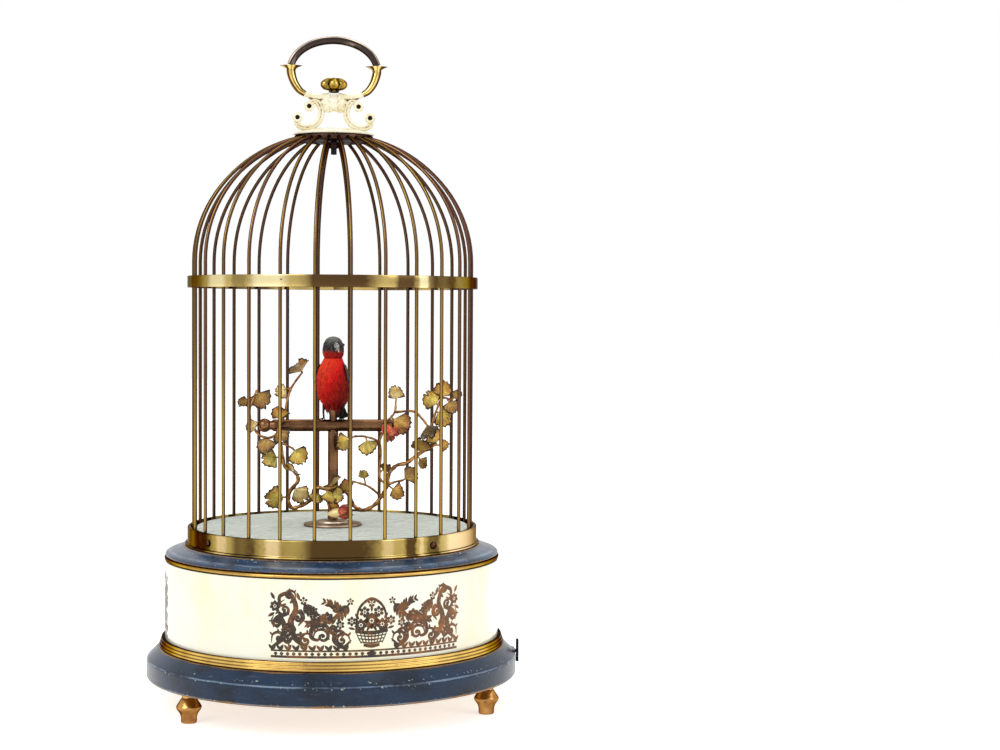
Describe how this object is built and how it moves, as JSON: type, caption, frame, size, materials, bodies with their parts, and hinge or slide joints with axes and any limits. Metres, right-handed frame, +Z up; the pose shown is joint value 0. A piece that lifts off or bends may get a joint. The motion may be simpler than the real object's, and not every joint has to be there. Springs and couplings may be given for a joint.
{
  "type": "singing bird automaton",
  "caption": "Clockwork singing bird in a domed wire cage on a round drum base, with carrying handle, flowering perch and winding key underneath.",
  "frame": {"origin": "on the cage's axis, in the plane of the feet's soles", "axes": "+Z up along the cage's axis; -Y is the front, which the bird faces; +X is the viewer's right"},
  "size_m": [0.1676, 0.166, 0.2998],
  "materials": {
    "gilt": "lacquered gilt brass, worn at the edges",
    "ring_brass": "polished, darkened in patches",
    "wire_brass": "tarnished brown brass",
    "perch_bronze": "dull bronze brown",
    "blue_lacquer": "gloss dark blue lacquer with rubbed edges",
    "drum_enamel": "gloss cream enamel with dark metallic prints",
    "cream_enamel": "gloss cream enamel",
    "felted_board": "board covered in grey-green felt",
    "leaf_enamel": "tinted lacquer over thin sheet brass",
    "movement_brass": "brushed",
    "steel": "bright",
    "spring_steel": "blued",
    "blackened_steel": "black oxide",
    "red_feathers": "real feathers, matte",
    "dark_feathers": "real feathers, matte",
    "horn": "smooth pale horn",
    "kid_leather": "thin kid leather",
    "beech": "planed"
  },
  "bodies": {
    "case": {"foot_front_left": "gilt", "foot_front_right": "gilt", "foot_rear": "gilt", "plinth": "blue_lacquer", "bottom_plate": "movement_brass", "gilt_moulding": "gilt", "drum_shell": "drum_enamel", "cornice": "blue_lacquer", "gilt_bead": "gilt", "cage_base_ring": "ring_brass", "ring_screw_front_left": "ring_brass", "ring_screw_front_right": "ring_brass", "ring_screw_back_right": "ring_brass", "ring_screw_back_left": "ring_brass", "stage_floor": "felted_board", "cage_wires": "wire_brass", "cage_band": "ring_brass", "crown_casting": "cream_enamel", "crown_nut": "wire_brass", "rosette_knob": "gilt", "carry_handle": "wire_brass", "handle_arm_left": "gilt", "handle_arm_right": "gilt", "perch_post": "perch_bronze", "perch_bar": "perch_bronze", "spray_left": "leaf_enamel", "spray_right": "leaf_enamel", "movement_lower_plate": "movement_brass", "movement_upper_plate": "movement_brass", "bellows_base_board": "beech", "bellows_leather": "kid_leather", "whistle_pipe": "movement_brass"},
    "key": {"winding_key": "steel", "winding_arbor": "steel"},
    "click": {"ratchet_click": "steel"},
    "barrel": {"mainspring_barrel": "movement_brass", "barrel_cover": "movement_brass", "mainspring": "spring_steel"},
    "cams": {"cam_stack": "movement_brass"},
    "crank": {"crank_wheel": "movement_brass"},
    "fly": {"governor_fly": "movement_brass"},
    "bellows_board": {"bellows_moving_board": "beech"},
    "piston": {"whistle_piston": "steel"},
    "stop_lever": {"start_stop_lever": "blackened_steel"},
    "bird": {"body_turn_tube": "steel", "bird_body": "red_feathers", "bird_wing_left": "dark_feathers", "bird_wing_right": "dark_feathers", "bird_leg_left": "blackened_steel", "bird_leg_right": "blackened_steel"},
    "turn_lever": {"body_turn_lever": "steel"},
    "tail": {"bird_tail": "dark_feathers"},
    "tail_push_wire": {"tail_wire": "steel"},
    "tail_rocker": {"tail_lever": "steel"},
    "head": {"head_turn_tube": "steel", "bird_head": "dark_feathers"},
    "head_lever": {"head_turn_lever": "steel"},
    "beak": {"bird_lower_beak": "horn"},
    "beak_push_wire": {"beak_wire": "steel"},
    "beak_rocker": {"beak_lever": "steel"}
  },
  "joints": [
    {"name": "key_wind", "type": "hinge", "parent": "case", "child": "key", "pos_m": [0, 0, 0.0132], "axis": [0, 0, 1], "continuous": true},
    {"name": "click_lift", "type": "hinge", "parent": "case", "child": "click", "pos_m": [0.0155, -0.004, 0.0168], "axis": [0, 0, -1], "range_deg": [0, 10]},
    {"name": "barrel_turn", "type": "hinge", "parent": "case", "child": "barrel", "pos_m": [0, 0, 0.0209], "axis": [0, 0, 1], "continuous": true},
    {"name": "cam_turn", "type": "hinge", "parent": "case", "child": "cams", "pos_m": [0.024, 0, 0.0209], "axis": [0, 0, 1], "continuous": true},
    {"name": "crank_turn", "type": "hinge", "parent": "case", "child": "crank", "pos_m": [0.01934, 0.01739, 0.0386], "axis": [0, 0, 1], "continuous": true},
    {"name": "fly_turn", "type": "hinge", "parent": "case", "child": "fly", "pos_m": [0.00661, 0.03011, 0.0204], "axis": [0, 0, 1], "continuous": true},
    {"name": "bellows_pump", "type": "hinge", "parent": "case", "child": "bellows_board", "pos_m": [-0.021, 0.0348, 0.0437], "axis": [0, 0, 1], "range_deg": [0, 9], "deforming": ["bellows_leather"]},
    {"name": "piston_slide", "type": "slide", "parent": "case", "child": "piston", "axis": [0, 1, 0], "range_m": [0, 0.008]},
    {"name": "stop_lever_swing", "type": "hinge", "parent": "case", "child": "stop_lever", "pos_m": [0.056, 0, 0.0213], "axis": [0, 0, 1], "range_deg": [-5, 0]},
    {"name": "bird_turn", "type": "hinge", "parent": "case", "child": "bird", "pos_m": [0, 0, 0.1329], "axis": [0, 0, 1], "range_deg": [-15, 15]},
    {"name": "turn_lever_swing", "type": "hinge", "parent": "case", "child": "turn_lever", "pos_m": [0, 0.026, 0.0636], "axis": [0, 0, 1], "range_deg": [-6.7, 6.7]},
    {"name": "tail_wag", "type": "hinge", "parent": "bird", "child": "tail", "pos_m": [0.00121, 0.00485, 0.13842], "axis": [-0.9703, 0.2419, 0], "range_deg": [0, 10]},
    {"name": "tail_wire_slide", "type": "slide", "parent": "bird", "child": "tail_push_wire", "axis": [0, 0, 1], "range_m": [0, 0.0007]},
    {"name": "tail_lever_tip", "type": "hinge", "parent": "case", "child": "tail_rocker", "pos_m": [-0.012, 0, 0.0541], "axis": [0, -1, 0], "range_deg": [0, 3.23]},
    {"name": "head_turn", "type": "hinge", "parent": "case", "child": "head", "pos_m": [0, 0, 0.1556], "axis": [0, 0, 1], "range_deg": [-25, 25]},
    {"name": "head_lever_swing", "type": "hinge", "parent": "case", "child": "head_lever", "pos_m": [0, -0.023, 0.0586], "axis": [0, 0, 1], "range_deg": [-11, 11]},
    {"name": "beak_open", "type": "hinge", "parent": "head", "child": "beak", "pos_m": [0.00102, -0.00314, 0.1594], "axis": [0.9511, 0.309, 0], "range_deg": [0, 16]},
    {"name": "beak_wire_slide", "type": "slide", "parent": "case", "child": "beak_push_wire", "axis": [0, 0, 1], "range_m": [0, 0.00093]},
    {"name": "beak_lever_tip", "type": "hinge", "parent": "case", "child": "beak_rocker", "pos_m": [-0.012, 0, 0.0497], "axis": [0, -1, 0], "range_deg": [0, 4.4]}
  ],
  "couplings": [
    {"joint": "cam_turn", "follows": "barrel_turn", "ratio": -4},
    {"joint": "crank_turn", "follows": "barrel_turn", "ratio": 16},
    {"joint": "fly_turn", "follows": "barrel_turn", "ratio": -64},
    {"joint": "turn_lever_swing", "follows": "bird_turn", "ratio": -0.44444},
    {"joint": "head_lever_swing", "follows": "head_turn", "ratio": -0.4375},
    {"joint": "tail_wag", "follows": "tail_lever_tip", "ratio": 3.0968},
    {"joint": "tail_wire_slide", "follows": "tail_lever_tip", "m_per_rad": 0.012},
    {"joint": "beak_open", "follows": "beak_lever_tip", "ratio": 3.6364},
    {"joint": "beak_wire_slide", "follows": "beak_lever_tip", "m_per_rad": 0.012}
  ]
}
